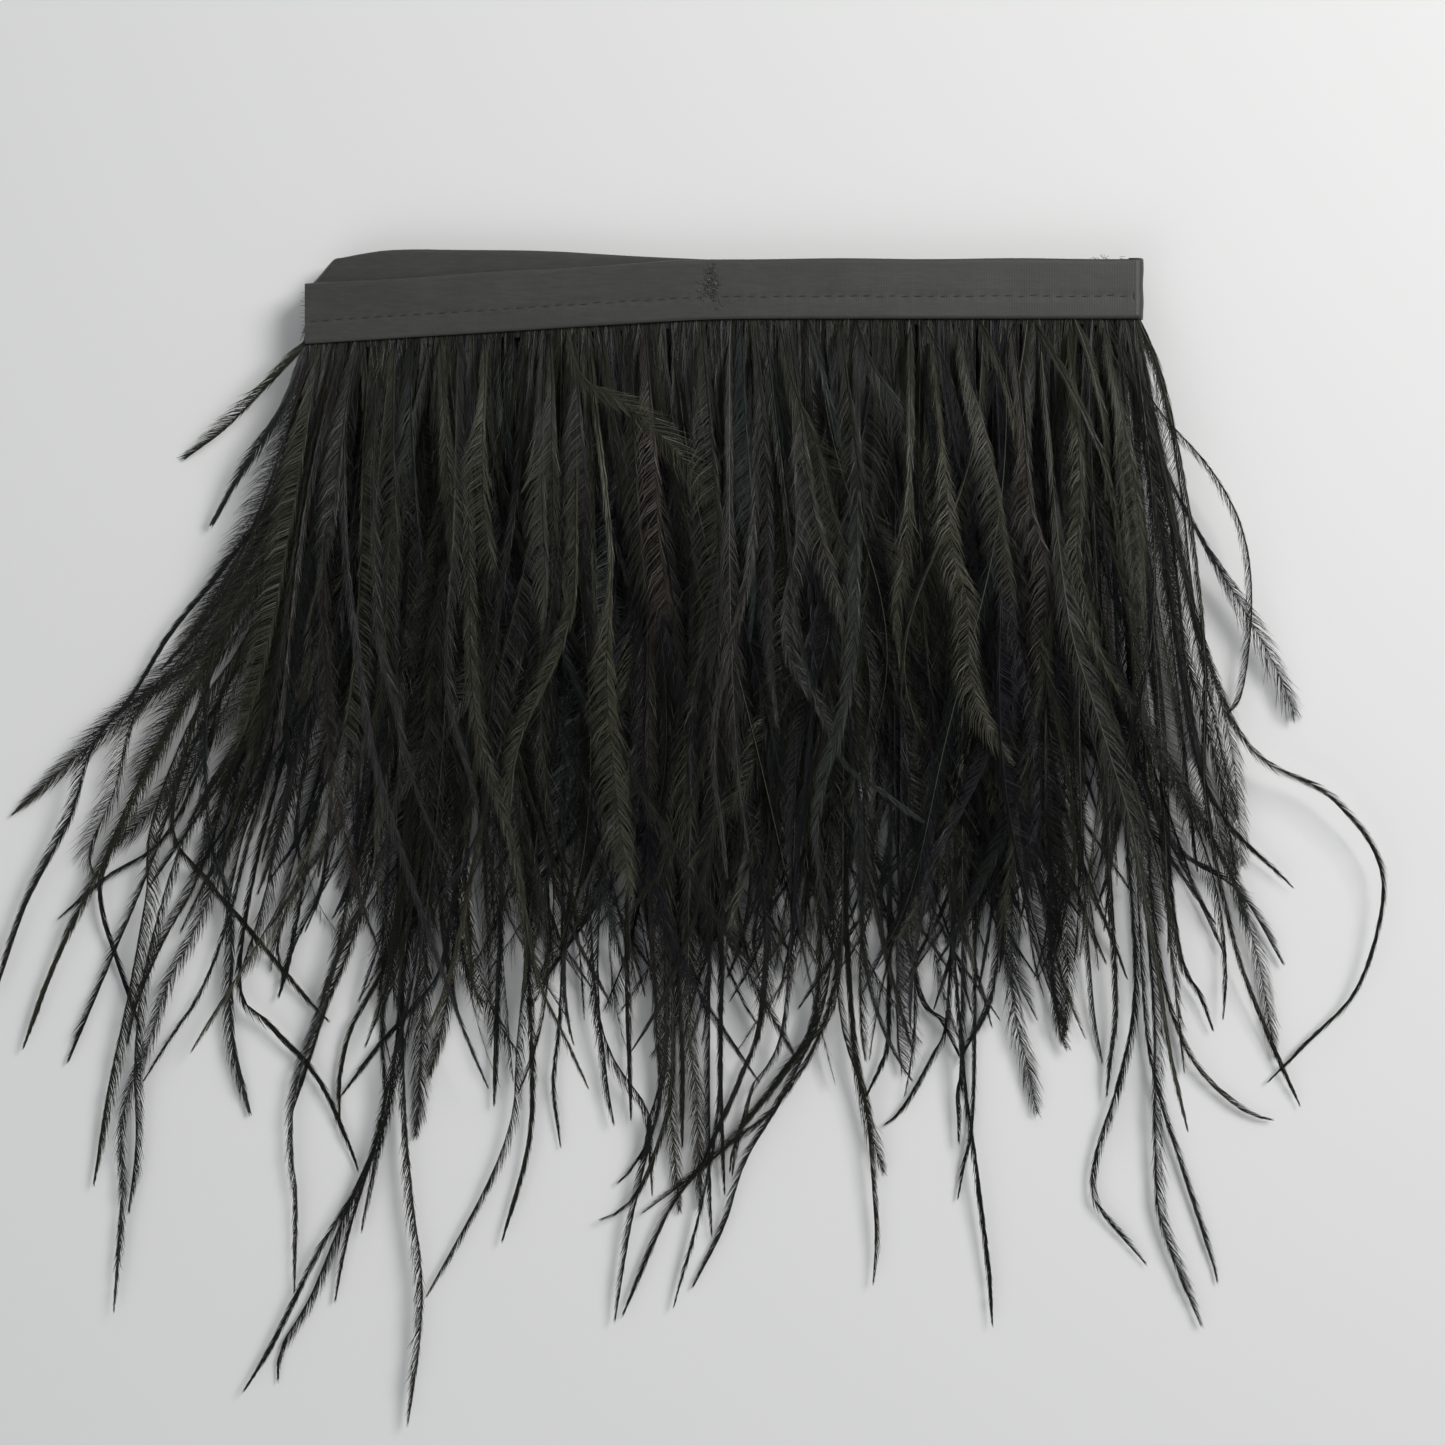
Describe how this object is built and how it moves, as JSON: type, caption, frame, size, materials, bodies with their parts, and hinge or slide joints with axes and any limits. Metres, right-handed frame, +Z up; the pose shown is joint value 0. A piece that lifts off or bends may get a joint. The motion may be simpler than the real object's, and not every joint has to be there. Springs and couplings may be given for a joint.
{
  "type": "feather fringe trim",
  "caption": "Length of black ostrich-feather fringe sewn into a narrow satin ribbon header, folded flat in a concertina so that it opens into one straight strip.",
  "frame": {"origin": "centre of the underside of the lowest ribbon leaf, which is the face that is sewn or glued to a garment", "axes": "+X along the ribbon, the feathers lie toward -Y, +Z up from the surface that the folded pack lies on"},
  "size_m": [0.2942, 0.2433, 0.0159],
  "materials": {
    "satin_ribbon": "black polyester satin, soft sheen",
    "header_tape": "matt woven cotton tape",
    "sewing_thread": "black spun polyester thread",
    "ostrich_flues": "dyed black ostrich flues, brown and olive where light passes"
  },
  "bodies": {
    "leaf_1": {"ribbon_1": "satin_ribbon", "header_tape_1": "header_tape", "needle_thread_1": "sewing_thread", "bobbin_thread_1": "sewing_thread", "fringe_1_left": "ostrich_flues", "fringe_1_middle": "ostrich_flues", "fringe_1_right": "ostrich_flues", "fold_loop_1": "satin_ribbon"},
    "leaf_2": {"ribbon_2": "satin_ribbon", "header_tape_2": "header_tape", "needle_thread_2": "sewing_thread", "bobbin_thread_2": "sewing_thread", "fringe_2_left": "ostrich_flues", "fringe_2_middle": "ostrich_flues", "fringe_2_right": "ostrich_flues", "fold_loop_2": "satin_ribbon"},
    "leaf_3": {"ribbon_3": "satin_ribbon", "header_tape_3": "header_tape", "needle_thread_3": "sewing_thread", "bobbin_thread_3": "sewing_thread", "fringe_3_left": "ostrich_flues", "fringe_3_middle": "ostrich_flues", "fringe_3_right": "ostrich_flues", "fold_loop_3": "satin_ribbon"},
    "leaf_4": {"ribbon_4": "satin_ribbon", "header_tape_4": "header_tape", "needle_thread_4": "sewing_thread", "bobbin_thread_4": "sewing_thread", "fringe_4_left": "ostrich_flues", "fringe_4_middle": "ostrich_flues", "fringe_4_right": "ostrich_flues", "fold_loop_4": "satin_ribbon"},
    "leaf_5": {"ribbon_5": "satin_ribbon", "header_tape_5": "header_tape", "needle_thread_5": "sewing_thread", "bobbin_thread_5": "sewing_thread", "fringe_5_left": "ostrich_flues", "fringe_5_middle": "ostrich_flues", "fringe_5_right": "ostrich_flues", "tacking_knot": "sewing_thread"}
  },
  "joints": [
    {"name": "fold_1", "type": "hinge", "parent": "leaf_1", "child": "leaf_2", "pos_m": [-0.0862, 0, 0.00193], "axis": [0, -1, 0], "range_deg": [0, 180], "deforming": ["fold_loop_1"]},
    {"name": "fold_2", "type": "hinge", "parent": "leaf_2", "child": "leaf_3", "pos_m": [0.0862, 0, 0.00392], "axis": [0, 1, 0], "range_deg": [0, 180], "deforming": ["fold_loop_2"]},
    {"name": "fold_3", "type": "hinge", "parent": "leaf_3", "child": "leaf_4", "pos_m": [-0.0862, 0, 0.00592], "axis": [0, -1, 0], "range_deg": [0, 180], "deforming": ["fold_loop_3"]},
    {"name": "fold_4", "type": "hinge", "parent": "leaf_4", "child": "leaf_5", "pos_m": [0.0862, 0, 0.00792], "axis": [0, 1, 0], "range_deg": [0, 180], "deforming": ["fold_loop_4"]}
  ],
  "couplings": [
    {"joint": "fold_2", "follows": "fold_1", "ratio": 1},
    {"joint": "fold_3", "follows": "fold_1", "ratio": 1},
    {"joint": "fold_4", "follows": "fold_1", "ratio": 1}
  ]
}
